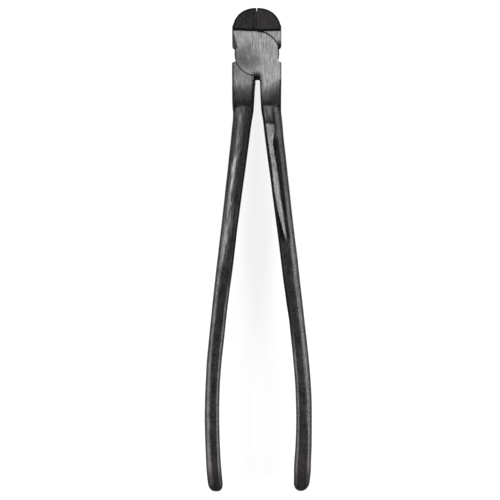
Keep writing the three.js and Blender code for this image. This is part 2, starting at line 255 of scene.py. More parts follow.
def trim(bm, point, outward):
    """Cuts everything off that lies past a plane, and closes the cut."""
    parts = bm.verts[:] + bm.edges[:] + bm.faces[:]
    bmesh.ops.bisect_plane(bm, geom=parts, plane_co=point, plane_no=outward, clear_outer=True)
    open_edges = [edge for edge in bm.edges if edge.is_boundary]
    bmesh.ops.holes_fill(bm, edges=open_edges, sides=0)


def round_off(bm, edges, width, segments):
    bmesh.ops.bevel(
        bm,
        geom=edges,
        offset=width,
        segments=segments,
        profile=0.5,
        affect="EDGES",
        material=-1,
    )


def disc(radius, bottom, top):
    """A round plate on the pivot, between two heights."""
    bm = bmesh.new()
    bmesh.ops.create_cone(
        bm,
        cap_ends=True,
        segments=ROUND_SEGMENTS,
        radius1=radius,
        radius2=radius,
        depth=top - bottom,
        matrix=Matrix.Translation((0, 0, (top + bottom) / 2)),
    )
    return bm


def plate(outline, bottom, top):
    """A flat outline drawn up between two heights."""
    bm = bmesh.new()
    corners = [bm.verts.new((x, y, bottom)) for x, y in outline]
    floor_face = bm.faces.new(corners)
    raised = bmesh.ops.extrude_face_region(bm, geom=[floor_face])["geom"]
    moved = [part for part in raised if isinstance(part, bmesh.types.BMVert)]
    bmesh.ops.translate(bm, vec=(0, 0, top - bottom), verts=moved)
    bmesh.ops.recalc_face_normals(bm, faces=bm.faces[:])
    return bm


def as_object(bm, name):
    mesh = bpy.data.meshes.new(name)
    bm.to_mesh(mesh)
    bm.free()
    made = bpy.data.objects.new(name, mesh)
    bpy.context.scene.collection.objects.link(made)
    return made


def with_modifier(obj, kind, **settings):
    """The object's mesh with one modifier applied, as a bmesh. The object is used up."""
    modifier = obj.modifiers.new(kind, kind)
    for name, value in settings.items():
        setattr(modifier, name, value)
    graph = bpy.context.evaluated_depsgraph_get()
    bm = bmesh.new()
    bm.from_object(obj, graph)
    used_up = obj.data
    bpy.data.objects.remove(obj)
    bpy.data.meshes.remove(used_up)
    return bm


def cut(bm, tool):
    """A bmesh with a cutter taken out of it."""
    cutter = as_object(tool, "cutter")
    body = as_object(bm, "body")
    result = with_modifier(
        body, "BOOLEAN", operation="DIFFERENCE", solver="EXACT", object=cutter
    )
    used_up = cutter.data
    bpy.data.objects.remove(cutter)
    bpy.data.meshes.remove(used_up)
    return result


# The jaw: half of a D-shaped block that flares out to its long cutting edge, with a bevel at
# the edge's outer end and an eye-shaped relief behind the edge.

HALF_HEAD = 18.05
DOME_HEIGHT = 18.1
DOME_EXPONENT = 2.25
HALF_JAW_BASE = 12
JAW_FACE = 0.015
JAW_ROUNDING = 0.9
JAW_RIM_ANGLE = math.radians(50)
JAW_FOOT = 16.62
JAW_TIP = TIP - 0.4
NOTCH_HALF_WIDTH = 0.4
NOTCH_DEPTH = 3
EDGE_LAND = 1.2
MOUTH_LENGTH = 7.6
MOUTH_DEPTH = 1.2
MOUTH_HALF_THICKNESS = 9


def superellipse(turn, exponent):
    """The point at a turn on a circle of radius 1 that an exponent over 2 squares off."""
    cosine, sine = math.cos(turn), math.sin(turn)
    power = 2 / exponent
    return (
        math.copysign(abs(cosine) ** power, cosine),
        math.copysign(abs(sine) ** power, sine),
    )


def jaw(traits):
    bm = disc(1, -HALF_EDGE, HALF_EDGE)
    for vert in bm.verts:
        across, up = superellipse(math.atan2(vert.co.y, vert.co.x), DOME_EXPONENT)
        vert.co.x = HALF_HEAD * across
        vert.co.y = JAW_TIP - DOME_HEIGHT + DOME_HEIGHT * up
    trim(bm, (0, JAW_FOOT, 0), (-traits["jaw_foot_rise"], -HALF_HEAD, 0))
    rim = [edge for edge in bm.edges if edge.calc_face_angle() > JAW_RIM_ANGLE]
    round_off(bm, rim, JAW_ROUNDING, ROUNDING_SEGMENTS)
    trim(bm, (-JAW_FACE, 0, 0), (1, 0, 0))
    trim(bm, (0, JAW_TIP - NOTCH_DEPTH, 0), (NOTCH_DEPTH, NOTCH_HALF_WIDTH, 0))
    flare = (HALF_EDGE - HALF_JAW_BASE) / (JAW_TIP - JAW_FOOT)
    for vert in bm.verts:
        vert.co.z *= 1 - flare * (JAW_TIP - vert.co.y) / HALF_EDGE
    mouth_top = JAW_TIP - NOTCH_DEPTH - EDGE_LAND
    mouth_radius = ((MOUTH_LENGTH / 2) ** 2 + MOUTH_DEPTH**2) / (2 * MOUTH_DEPTH)
    eye = disc(mouth_radius, -MOUTH_HALF_THICKNESS, MOUTH_HALF_THICKNESS)
    centre = (mouth_radius - MOUTH_DEPTH, mouth_top - MOUTH_LENGTH / 2, 0)
    bmesh.ops.translate(eye, vec=centre, verts=eye.verts[:])
    return cut(bm, eye)


# The neck: carries the jaw on the lap. A slanting wedge is ground off each of its faces, and its
# lower end is the shoulder that stops against the other lever's leg.

NECK_SHOULDER = math.radians(11.3)
NECK_CORNER = 1.9
CORNER_SEGMENTS = 5
NECK_INTO_JAW = 4
WEDGE_RUN = 6

# A wedge's line runs from "top" at the outside to "foot", "inset" further in, and "drop" is its
# slope. "shade" is how sharply the painted shade along that line ends, and "left_over" how much
# of the wedge's own face the wheel brightened, and how deep down.

LAP_SIDE_WEDGE = {
    "top": 14.5,
    "foot": 3.6,
    "inset": 2.8,
    "drop": 2.6,
    "shade": 0.75,
    "left_over": (0.07, 1.8),
}
SEAT_SIDE_WEDGE = {
    "top": 9.1,
    "foot": 8.3,
    "inset": 5,
    "drop": 3.4,
    "shade": 1.6,
    "left_over": (0.33, 1.5),
}


def neck():
    reach = LAP_RADIUS / 2
    inner_x = -reach * math.cos(NECK_SHOULDER)
    inner_y = reach * math.sin(NECK_SHOULDER)
    shoulder_y = HALF_HEAD * math.tan(NECK_SHOULDER)
    outline = [
        (-JAW_FACE, inner_y),
        (-JAW_FACE, SEAT_RADIUS + NECK_INTO_JAW),
        (-HALF_HEAD, SEAT_RADIUS + NECK_INTO_JAW),
        (-HALF_HEAD, shoulder_y),
        (inner_x, inner_y),
    ]
    bm = plate(outline, -HALF_JOINT, HALF_JOINT)
    corner = Vector((-HALF_HEAD, shoulder_y))
    shoulder = [
        edge
        for edge in bm.edges
        if all((vert.co.xy - corner).length < WELD for vert in edge.verts)
    ]
    round_off(bm, shoulder, NECK_CORNER, CORNER_SEGMENTS)
    for wedge, side in ((LAP_SIDE_WEDGE, 1), (SEAT_SIDE_WEDGE, -1)):
        start = Vector((-HALF_HEAD, wedge["top"], side * HALF_JOINT))
        along = Vector((wedge["inset"], wedge["foot"] - wedge["top"], 0)).normalized()
        down = Vector((along.y, -along.x, 0)) * WEDGE_RUN
        down.z = -side * wedge["drop"]
        trim(bm, start, along.cross(down) * -side)
    return bm


# The leg and the handle: one bar, straight sided beside the joint, then facetted, leaning out,
# tapering and bowing back in to a domed end. The grinding wheel ran out of the leg at a ridge.

LEG_SHOULDER = math.radians(20.1)
LEG_OUTER_CORNER = 1.0
LEG_INNER_CORNER = 1.3
LEG_INNER = 2.25
LEG_INNER_DRAFT = 1
FLAT_END = 19.1
RIDGE = 37.9
HALF_SHANK = 9.4
KNEE = Vector((10.85, -43))
KNEE_WIDTH = 14.4
HALF_GRIP_DEPTH = 6.8
GRIP_LENGTH = 107.3
WIDTH_TAPER_EXPONENT = 1.5
BOW_RADIUS = 450
BOW_CENTRE = Vector((33.95 - BOW_RADIUS, 54.3 - END))
END_DOME_LENGTH = 7
FACET_LEAD = 1
FACET_BLEND_LENGTH = 1.6
OUTER_EDGE_SHARE = 0.12
OUTER_FLANK_TILT = math.radians(62)
OUTER_EDGE_TILT = math.radians(38)
INNER_FLANK_TILT = math.radians(132)
FACET_CRISPNESS = 30
FLASH_HEIGHT = 0.2
FLASH_HALF_WIDTH = 1.3
BAR_SIDES = 96
STATION_STEP = 1.6
DOME_STATIONS = 12


def blend(start, end, share):
    return start + (end - start) * min(max(share, 0), 1)


def bow_tangent():
    """Where the straight line down from the knee runs into the bow's circle."""
    back = KNEE - BOW_CENTRE
    turn = math.atan2(back.y, back.x) - math.acos(BOW_RADIUS / back.length)
    return BOW_CENTRE + BOW_RADIUS * Vector((math.cos(turn), math.sin(turn)))


BOW_START = bow_tangent()


def die_centre(below):
    """The middle of the bar as the die has it."""
    if below > -BOW_START.y:
        return BOW_CENTRE.x + math.sqrt(BOW_RADIUS**2 - (below + BOW_CENTRE.y) ** 2)
    if below > -KNEE.y:
        share = (below + KNEE.y) / (KNEE.y - BOW_START.y)
        return blend(KNEE.x, BOW_START.x, share)
    leg_centre = (HALF_HEAD + LEG_INNER) / 2
    return leg_centre + (KNEE.x - leg_centre) * (below - FLAT_END) / (-KNEE.y - FLAT_END)


def bar_centre(below, traits):
    return die_centre(below) + at_station(traits["lean"], below)[0]


def bar_half_width(below, traits):
    swell = at_station(traits["swell"], below)[0]
    if below < -KNEE.y:
        leg_width = HALF_HEAD - LEG_INNER
        share = (below - FLAT_END) / (-KNEE.y - FLAT_END)
        return (leg_width + (KNEE_WIDTH - leg_width) * share + swell) / 2
    grip_width = traits["grip_width"]
    taper_end = END - GRIP_LENGTH
    left = max((taper_end - below) / (taper_end + KNEE.y), 0)
    width = grip_width + (KNEE_WIDTH - grip_width) * left**WIDTH_TAPER_EXPONENT
    return (width + swell) / 2


def bar_half_depth(below):
    taper_end = END - GRIP_LENGTH
    return blend(HALF_GRIP_DEPTH, HALF_SHANK, (taper_end - below) / (taper_end - RIDGE))


def wheel_height(below):
    """How high the grinding wheel left the leg above its middle plane."""
    run, lift = RIDGE - FLAT_END, HALF_SHANK - HALF_JOINT
    radius = (run**2 + lift**2) / (2 * lift)
    past = max(below - FLAT_END, 0)
    return HALF_JOINT + radius - math.sqrt(radius**2 - min(past, radius) ** 2)


def bar_reach(turn, below, half_width, half_depth, traits):
    """How far the bar's skin is from its centre line: the soft meeting of its facets."""
    facet_start = RIDGE - FACET_LEAD
    facetted = rise(facet_start, facet_start + FACET_BLEND_LENGTH, below)
    outer_share = at_station(traits["outer_flank"], below)[0]
    inner_share = at_station(traits["inner_flank"], below)[0]
    outer = blend(LEG_OUTER_CORNER, 2 * half_width * outer_share, facetted)
    edge = blend(LEG_OUTER_CORNER / 2, 2 * half_width * OUTER_EDGE_SHARE, facetted)
    inner = blend(LEG_INNER_CORNER, 2 * half_width * inner_share, facetted)
    crest = half_width - outer
    brow = half_width - edge
    brow_height = half_depth - (brow - crest) / math.tan(OUTER_FLANK_TILT)
    side = half_width - FLASH_HEIGHT
    facets = [
        (0, side, 0),
        (OUTER_EDGE_TILT, brow, brow_height),
        (OUTER_FLANK_TILT, crest, half_depth),
        (math.pi / 2, 0, half_depth),
        (INNER_FLANK_TILT, inner - half_width, half_depth),
        (math.pi, -side, 0),
    ]
    shares = []
    for tilt, x, z in facets:
        distance = x * math.cos(tilt) + z * math.sin(tilt)
        shares.append(max(math.cos(abs(turn) - tilt), 0) / distance)
    return sum(share**FACET_CRISPNESS for share in shares) ** (-1 / FACET_CRISPNESS)


def bar(traits):
    dome_start = END - END_DOME_LENGTH
    first = LAP_RADIUS / 4
    count = round((dome_start - first) / STATION_STEP)
    stations = [first + (dome_start - first) * step / count for step in range(count)]
    shrinks = [1.0] * count
    for step in range(DOME_STATIONS):
        shrink, along = superellipse(math.pi / 2 * step / DOME_STATIONS, traits["end_exponent"])
        stations.append(dome_start + END_DOME_LENGTH * along)
        shrinks.append(shrink)
    bm = bmesh.new()
    bmesh.ops.create_cone(
        bm, cap_ends=True, segments=BAR_SIDES, radius1=1, radius2=1, depth=len(stations) - 1
    )
    long_edges = [edge for edge in bm.edges if abs(edge.verts[0].co.z - edge.verts[1].co.z) > 1]
    bmesh.ops.subdivide_edges(bm, edges=long_edges, cuts=len(stations) - 2)
    for vert in bm.verts:
        index = round((len(stations) - 1) / 2 - vert.co.z)
        below, shrink = stations[index], shrinks[index]
        turn = math.atan2(vert.co.y, vert.co.x)
        half_width = bar_half_width(below, traits)
        reach = bar_reach(turn, below, half_width, bar_half_depth(below), traits)
        x, z = reach * math.cos(turn), reach * math.sin(turn)
        flash = 1 - min(max(abs(z) - FLASH_HALF_WIDTH, 0) / (FLASH_HALF_WIDTH / 2), 1)
        x += math.copysign(FLASH_HEIGHT * flash, x) * abs(math.cos(turn))
        height = wheel_height(below)
        z = min(max(z * shrink, -height), height)
        upper_leg = (-KNEE.y - below) / (-KNEE.y - FLAT_END)
        lean = LEG_INNER_DRAFT / 2 * min(max(upper_leg, 0), 1) * z / HALF_JOINT if x < 0 else 0
        vert.co = (bar_centre(below, traits) + x * shrink - lean, -below, z)
    bmesh.ops.remove_doubles(bm, verts=bm.verts[:], dist=WELD)
    bmesh.ops.recalc_face_normals(bm, faces=bm.faces[:])
    trim(bm, (0, 0, 0), (math.sin(LEG_SHOULDER), math.cos(LEG_SHOULDER), 0))
    return bm


# The lap that turns in the other lever's seat, and the sloping web at its foot. The lap's blank
# is deeper than the lap, and the cutter that bores the seat and the rivet hole faces it.

WEB_DROP = 3.05
WEB_LIP = 1.1
WEB_SLOPE_INSET = 0.6
WEB_UNDERSIDE = 0.15
WEB_INTO_LEG = 1.25
WEB_FILLET_STEPS = 6
RIM_GAP = 0.45


def lap():
    bm = disc(LAP_RADIUS, -LAP_BLANK_DEPTH, HALF_JOINT)
    rim = [
        edge
        for edge in bm.edges
        if all(vert.co.z > HALF_JOINT - LAP_FACE for vert in edge.verts)
    ]
    round_off(bm, rim, LAP_RIM_ROUNDING, ROUNDING_SEGMENTS)
    return bm


def web(traits):
    foot = -LAP_RADIUS - WEB_DROP
    left, right = RIM_GAP - LEG_INNER, LEG_INNER + WEB_INTO_LEG
    fillet = traits["web_fillet"]
    outline = [(left, -LAP_RADIUS / 2), (left, foot)]
    for step in range(WEB_FILLET_STEPS + 1):
        turn = math.pi / 2 * (1 - step / WEB_FILLET_STEPS)
        x = LEG_INNER - fillet + fillet * math.cos(turn)
        outline.append((x, foot - fillet + fillet * math.sin(turn)))
    outline += [(right, foot - fillet), (right, -LAP_RADIUS / 2)]
    bm = plate(outline, WEB_UNDERSIDE, HALF_JOINT)
    lip = Vector((0, foot, WEB_UNDERSIDE + WEB_LIP))
    top = Vector((0, WEB_SLOPE_INSET - LAP_RADIUS, HALF_JOINT))
    trim(bm, lip, (top - lip).cross(Vector((-1, 0, 0))))
    return bm


def joint_cutter():
    """The turned shape that leaves the seat, the lap's inner face and the rivet hole."""
    bm = bmesh.new()
    reach = HALF_JOINT + OVERRUN
    profile = [
        (0, -reach),
        (SEAT_RADIUS, -reach),
        (SEAT_RADIUS, LAP_FACE),
        (RIVET_SHANK_RADIUS, LAP_FACE),
        (RIVET_SHANK_RADIUS, HALF_JOINT - RIVET_HEAD_DEPTH),
        (RIVET_HEAD_RADIUS, HALF_JOINT),
        (RIVET_HEAD_RADIUS, reach),
        (0, reach),
    ]
    points = [bm.verts.new((radius, 0, z)) for radius, z in profile]
    chain = [bm.edges.new(pair) for pair in zip(points, points[1:])]
    bmesh.ops.spin(
        bm,
        geom=points + chain,
        cent=(0, 0, 0),
        axis=(0, 0, 1),
        angle=2 * math.pi,
        steps=ROUND_SEGMENTS,
        use_merge=True,
    )
    bmesh.ops.remove_doubles(bm, verts=bm.verts[:], dist=WELD)
    bmesh.ops.recalc_face_normals(bm, faces=bm.faces[:])
    return bm


# Where the steel is ground, where its oxide is worn thin and where the forge scale stays on, and
# where painted shade and painted highlights lie on it. The joint faces are bright and the wheel's
# marks run out down the legs; painted shade darkens them along the edges, at the web's foot and
# over the wheel's scoop. A second touch of the wheel left a bright strip on the near handle, and
# hands have worn the handles' crests, which also carry a painted highlight.

# The outline below also says where painted shade darkens the skin: along the tool's edges, the seat's seam and the
# wedges' lines.
NOTCH_REACH = 4.5
SEAT_SEAM_SHADE = 3


def inside_by(place, traits):
    """How far a point lies inside the outline of the tool, seen from above."""
    below = -place.y
    if below < -JAW_FOOT:
        up = max(place.y - JAW_TIP + DOME_HEIGHT, 0) / DOME_HEIGHT
        across = abs(place.x) / HALF_HEAD
        out = (up**DOME_EXPONENT + across**DOME_EXPONENT) ** (1 / DOME_EXPONENT)
        foot = JAW_FOOT - traits["jaw_foot_rise"] * place.x / HALF_HEAD
        return min((1 - out) * DOME_HEIGHT, place.y - foot)
    if below > FLAT_END:
        from_middle = place.x - bar_centre(below, traits)
        side_shade = traits["inner_shade"] if from_middle < 0 else 0
        return bar_half_width(below, traits) - abs(from_middle) - side_shade
    inside = HALF_HEAD - abs(place.x)
    if abs(below) < NOTCH_REACH:
        inside = min(inside, LAP_RADIUS - place.xy.length)
    if place.x < 0 < place.y and place.z < 0:
        inside = min(inside, (place.xy.length - SEAT_RADIUS) * SEAT_SEAM_SHADE)
    wedge = LAP_SIDE_WEDGE if place.z > 0 else SEAT_SIDE_WEDGE
    if place.x < 0 and place.y > wedge["foot"]:
        start = Vector((-HALF_HEAD, wedge["top"]))
        along = Vector((wedge["inset"], wedge["foot"] - wedge["top"])).normalized()
        inside = min(inside, along.cross(place.xy - start) * wedge["shade"])
    return inside


# From here on a pair of values is where one look of the skin, ground, worn, black or painted shade,
# starts to give way and where it has done so: millimetres, or, in a name that ends in FACE, the part
# of the face's normal that points up or to a side.

EDGE_GRIND_FACE = 0.9
EDGE_GRIND_REACH = 1
EDGE_GRIND_FADE = (HALF_JAW_BASE - 0.5, HALF_JAW_BASE - 1.5)
BORED_INSET = 1.2
FLAT_FACE = (0.85, 0.96)
WEDGE_FACE = (0.8, 0.86)
FACE_DEPTH = 0.16
# Painted shade on the ground faces along the lap's free rim, the neck's and lap's outline and the legs' edges.
FREE_RIM_SHADE = (0.1, 1.0)
RIM_SHADE = (0.3, 1.7)
LEG_SHADE = (0.5, 2.6)
LEG_LOSS_SPAN = (6, 16)
SIDE_FADE = 1
WHEEL_MARK = Vector((1.1, 7))
# The ground faces fade down the leg: the wheel's marks run out, and the fade is also painted shade over the
# wheel's scoop, which turns away from the light towards the ridge.
RUN_OUT_START = 21.6
RUN_OUT_LENGTH = 4.6
RUN_OUT_SCATTER = 1.4
RUN_OUT_LAST = 5
# Painted shade: the ground faces darken towards the web's foot, the crotch between the legs.
WEB_SHADE = Vector((0, -17.4))
WEB_SHADE_FADE = (1.75, 5.75)


def ground_share_less_painted_shade(place, normal, traits):
    """1 where the wheel has ground the skin bright, 0 where it is still black, and less where painted
    shade darkens the ground faces along edges, at the web's foot and over the scoop.
    """
    below = -place.y
    if place.y > JAW_FOOT and place.x > -EDGE_GRIND_REACH and normal.x > EDGE_GRIND_FACE:
        return rise(*EDGE_GRIND_FADE, abs(place.z))
    if below > RIDGE:
        return strip_share(place, normal, traits)
    if place.xy.length < LAP_RADIUS - BORED_INSET and abs(place.z - LAP_FACE) < LAP_FACE:
        return 1
    rivet_edge = place.xy.length < RIVET_HEAD_RADIUS + SKIN_STEP
    flat = 1 if rivet_edge else rise(*FLAT_FACE, abs(normal.z))
    depth = abs(wheel_height(below) - abs(place.z))
    ground_less_shade = flat * rise(FACE_DEPTH, FACE_DEPTH / 2, depth)
    left_over = 0
    if place.x < 0 < place.y:
        share, reach = (LAP_SIDE_WEDGE if place.z > 0 else SEAT_SIDE_WEDGE)["left_over"]
        left_over = share * rise(reach, 0, depth) * rise(*WEDGE_FACE, abs(normal.z))
    elif place.z > 0 and below < FLAT_END and (place.x > 0) == (place.y > 0):
        # Painted shade along the lap's free rim.
        ground_less_shade *= rise(*FREE_RIM_SHADE, LAP_RADIUS - place.xy.length)
    ground_less_shade *= 1 - traits["leg_loss"] * rise(*LEG_LOSS_SPAN, below) * rise(0, -SIDE_FADE, place.z)
    mark = Vector((place.x / WHEEL_MARK.x, place.y / WHEEL_MARK.y, traits["seed"]))
    slant = traits["run_out_slant"] * (place.x - die_centre(FLAT_END))
    start = RUN_OUT_START - slant * rise(0, SIDE_FADE, place.z)
    start += noise.noise(mark) * RUN_OUT_SCATTER
    # The run-out: the wheel's marks fading, with painted shade over the scoop.
    ground_less_shade *= math.exp(-max(below - start, 0) / RUN_OUT_LENGTH)
    ground_less_shade *= rise(RIDGE, RIDGE - RUN_OUT_LAST, below)
    # Painted shade at the web's foot.
    ground_less_shade *= rise(*WEB_SHADE_FADE, (place.xy - WEB_SHADE).length)
    # Painted shade towards the tool's outline and the legs' edges.
    shade = LEG_SHADE if below > FLAT_END else RIM_SHADE
    return max(ground_less_shade * rise(*shade, inside_by(place, traits)), left_over)


STRIP_FACE = (0.86, 0.96)
STRIP_SOFTNESS = 0.4
STRIP_WOBBLE = Vector((1, 2))
STRIP_START_FADE = 2.5
STRIP_END_FADE = 12
STRIP_OUTER_LOSS = 0.5
STRIP_OUTER_LOSS_SPAN = (64, 54)
STRIP_BLOTCH = Vector((1.4, 3.5))
STRIP_COVER = 0.85
STRIP_BLOTCH_SHARE = 0.5


def strip_share(place, normal, traits):
    """1 on the bright strip that the wheel's second touch left beside the near handle's crest."""
    if not traits["strip"] or normal.z < STRIP_FACE[0]:
        return 0
    below = -place.y
    inner, outer = at_station(traits["strip"], below)
    across = place.x - bar_centre(below, traits) + bar_half_width(below, traits)
    wobble, blotch = [
        noise.noise(Vector((place.x / size.x, place.y / size.y, traits["seed"])))
        for size in (STRIP_WOBBLE, STRIP_BLOTCH)
    ]
    shaken = across + wobble * STRIP_SOFTNESS
    strip = rise(inner - STRIP_SOFTNESS, inner + STRIP_SOFTNESS, shaken)
    strip *= rise(outer + STRIP_SOFTNESS, outer - STRIP_SOFTNESS, shaken)
    first, last = traits["strip"][0][0], traits["strip"][-1][0]
    strip *= rise(first, first + STRIP_START_FADE, below) * rise(last, last - STRIP_END_FADE, below)
    out = min(max((across - inner) / (outer - inner), 0), 1)
    strip *= 1 - STRIP_OUTER_LOSS * out * rise(*STRIP_OUTER_LOSS_SPAN, below)
    strip *= min(STRIP_COVER + STRIP_BLOTCH_SHARE * blotch, 1)
    return strip * rise(*STRIP_FACE, normal.z)


CREST_HALF_WIDTH = 3.2
SPOT_FACE = (0.9, 0.97)
SPOT_SIDE_FADE = 2
SPOT_START = (0, 1.6)
SPOT_END = (13, 5)


def wear_and_highlight_share(place, normal, traits):
    """1 along the crest, where hands have worn the oxide and a painted highlight lies, and in a rubbed
    spot below the ridge that also carries a painted highlight.
    """
    below = -place.y
    past = below - RIDGE
    if past < 0 or place.z * traits["worn_face"] < 0:
        return 0
    from_outer = bar_centre(below, traits) + bar_half_width(below, traits) - place.x
    crest, share = at_station(traits["crest"], below)
    # Worn oxide along the crest, with a painted highlight on it.
    worn_and_highlit = share * rise(CREST_HALF_WIDTH, 0, abs(from_outer - crest))
    middle, half, share = traits["bright_spot"]
    # A rubbed spot below the ridge, with a painted highlight on it.
    spot = share * rise(half, half - SPOT_SIDE_FADE, abs(from_outer - middle))
    spot *= rise(*SPOT_START, past) * rise(*SPOT_END, past) * rise(*SPOT_FACE, abs(normal.z))
    return max(worn_and_highlit, spot)


# Painted shade on the black skin, laid on in forge scale's colour: the jaw's rim and steep sides, a band by the
# jaw's seam, the legs' edges, a band before the ridge, the handles' inner sides and tops, their upper outer
# flanks, a band and a groove line beside the bright strip, and the ends.
JAW_RIM_SHADE = (1.9, 0.7)
JAW_SIDE_FACE = (0.97, 0.8)
SEAM_SHADE_X = -2.3
SEAM_SHADE_WIDTH = 1.6
STEEP_FACE = (0.95, 0.75)
STEEP_FADE = 12
LEG_RIM_SHADE = (2.4, 0.6)
JOINT_RIM_REACH = 2
RIDGE_FADE = 1
RIDGE_SHADE = 0.45
RIDGE_SHADE_START = (-7, -3)
INNER_FACE = (-0.2, -0.5)
INNER_FADE = 40
INNER_TOP_SHADE = (3.8, 1.2)
FLANK_FACE = (0.25, 0.4)
FLANK_FADE = 2
BESIDE_STRIP_FACE = (0.86, 0.94)
BESIDE_STRIP_START = (58, 64)
BESIDE_STRIP_END = (142, 134)
GROOVE_INSET = 0.4
GROOVE_WIDTH = (1.1, 0.3)
GROOVE_START = 2
GROOVE_END = (70, 60)
END_SHADE = 0.6
END_SHADE_SPAN = (22, 8)


def scale_and_shade_share(place, normal, traits):
    """1 where the skin is painted black: forge scale on steep sides, and painted shade on the jaw's
    rim and sides, by its seam, along edges, at the ridge, on the handles' inner sides and upper
    flanks, beside the strip and at the ends.
    """
    below = -place.y
    inside = inside_by(place, traits)
    if below < -JAW_FOOT:
        # Painted shade on the jaw's rim, its steep sides and beside its seam.
        dark = max(rise(*JAW_RIM_SHADE, inside), rise(*JAW_SIDE_FACE, abs(normal.z)))
        if place.z > 0:
            across = (place.x - SEAM_SHADE_X) / SEAM_SHADE_WIDTH
            dark = max(dark, traits["seam_shade"] * math.exp(-across * across))
        return dark
    past = below - RIDGE
    # Forge scale and painted shade on steep sides; painted shade along the edges and before the ridge.
    steep = rise(*STEEP_FACE, abs(normal.z)) * rise(STEEP_FADE, 0, past)
    rim = rise(*LEG_RIM_SHADE, inside) * rise(RIDGE_FADE, -RIDGE_FADE, past)
    ridge = RIDGE_SHADE * rise(*RIDGE_SHADE_START, past) * rise(RIDGE_FADE, 0, past)
    if below < FLAT_END:
        shown = below > LAP_RADIUS or inside < JOINT_RIM_REACH
        return max(steep, max(rim, ridge) * shown)
    width = 2 * bar_half_width(below, traits)
    from_inner = place.x - bar_centre(below, traits) + width / 2
    inner_end = traits["inner_side_shade_end"]
    # Painted shade on the handles' inner sides and inner tops, and on their outer flanks up high.
    inner_side = rise(*INNER_FACE, normal.x) * rise(inner_end + INNER_FADE, inner_end, below)
    inner_top = rise(*INNER_TOP_SHADE, from_inner) * at_station(traits["inner_top_shade"], below)[0]
    flank = rise(*FLANK_FACE, normal.x) * at_station(traits["flank_shade"], below)[0]
    flank *= rise(-FLANK_FADE, FLANK_FADE, past)
    beside = groove_shade = 0
    # Painted shade in a band beside the bright strip, and a painted shaded groove line along it.
    if traits["strip"] and normal.z > 0:
        beside = rise(*BESIDE_STRIP_START, below) * rise(*BESIDE_STRIP_END, below)
        beside *= rise(*BESIDE_STRIP_FACE, normal.z)
        crest = width * (1 - at_station(traits["outer_flank"], below)[0])
        groove_shade = traits["groove_shade"] * rise(*GROOVE_WIDTH, abs(from_inner - crest + GROOVE_INSET))
        groove_shade *= rise(0, GROOVE_START, past) * rise(*GROOVE_END, below)
    # Painted shade on the handles' ends.
    end = END_SHADE * rise(*END_SHADE_SPAN, END - below)
    return max(steep, rim, ridge, inner_side, inner_top, flank, beside, groove_shade, end)


BROWNED_SPAN = (278, 312)


def browned_share(place, traits):
    """1 where the oxide has turned a little brown: on the handle's end and on one of the jaws."""
    if place.y > JAW_FOOT:
        return traits["jaw_browned"]
    return rise(*BROWNED_SPAN, -place.y)


# The forging's own unevenness, on everything that isn't ground: slow waves along the bar and
# a fine orange peel from the die. The strip lies as deep as the wheel bit.

WAVE_LENGTH = 17
WAVE_HEIGHT = 0.13
WAVE_FADE = 4
PEEL_LENGTH = 3.2
PEEL_HEIGHT = 0.035
STRIP_RECESS = 0.15


def lever(name, traits):
    whole = bmesh.new()
    for part in (bar(traits), neck(), jaw(traits), lap(), web(traits)):
        mesh = bpy.data.meshes.new("part")
        part.to_mesh(mesh)
        part.free()
        whole.from_mesh(mesh)
        bpy.data.meshes.remove(mesh)
    whole = as_object(whole, name)
    bm = with_modifier(whole, "REMESH", mode="VOXEL", voxel_size=SKIN_STEP, adaptivity=0)
    bmesh.ops.smooth_vert(
        bm,
        verts=bm.verts[:],
        factor=SKIN_SMOOTHING,
        use_axis_x=True,
        use_axis_y=True,
        use_axis_z=True,
    )
    bm.normal_update()
    offset = Vector((traits["seed"], 0, 0))
    for vert in bm.verts:
        untouched = 1 - ground_share_less_painted_shade(vert.co, vert.normal, traits)
        on_bar = rise(RIDGE, RIDGE + WAVE_FADE, -vert.co.y)
        wave = noise.noise(vert.co / WAVE_LENGTH + offset) * WAVE_HEIGHT * on_bar
        peel = noise.noise(vert.co / PEEL_LENGTH + offset) * PEEL_HEIGHT
        recess = STRIP_RECESS * (1 - untouched) * on_bar
        vert.co += vert.normal * ((wave + peel) * untouched - recess)
        if vert.co.y > SEAT_RADIUS:
            vert.co.x = min(vert.co.x, -JAW_FACE)
    bm = cut(bm, joint_cutter())
    bm.normal_update()
    # Each point keeps how ground it is, less painted shade; how worn, with painted highlight; and how black with
    # scale and painted shade.
    finish_and_painted_light = bm.verts.layers.float_vector.new("finish_and_painted_light")
    bar_place = bm.verts.layers.float_vector.new("bar_place")
    browned = bm.verts.layers.float.new("browned")
    for vert in bm.verts:
        known = (vert.co, vert.normal, traits)
        vert[finish_and_painted_light] = (ground_share_less_painted_shade(*known), wear_and_highlight_share(*known), scale_and_shade_share(*known))
        below = max(-vert.co.y, FLAT_END)
        lean = bar_centre(below, traits) - bar_centre(FLAT_END, traits)
        vert[bar_place] = vert.co - Vector((lean, 0, 0))
        vert[browned] = browned_share(vert.co, traits)
    for face in bm.faces:
        face.smooth = True
    made = as_object(bm, name)
    made.data.set_sharp_from_angle(angle=CRISP_EDGE)
    return made


front_lever = lever("front_lever_forging", FRONT_TRAITS)
back_lever = lever("back_lever_forging", BACK_TRAITS)
to_row = Matrix.Translation(pivot) @ Matrix.Scale(MM, 4)
front_lever.data.transform(to_row)
back_lever.data.transform(to_row @ Matrix.Rotation(math.pi, 4, "Y"))


def linear(code):
    """An sRGB hex colour as the linear colour that the shaders take."""
    channels = [int(code[place : place + 2], 16) / 255 for place in (1, 3, 5)]
    low = [channel / 12.92 for channel in channels]
    high = [((channel + 0.055) / 1.055) ** 2.4 for channel in channels]
    return [h if c > 0.04045 else l for c, l, h in zip(channels, low, high)] + [1]


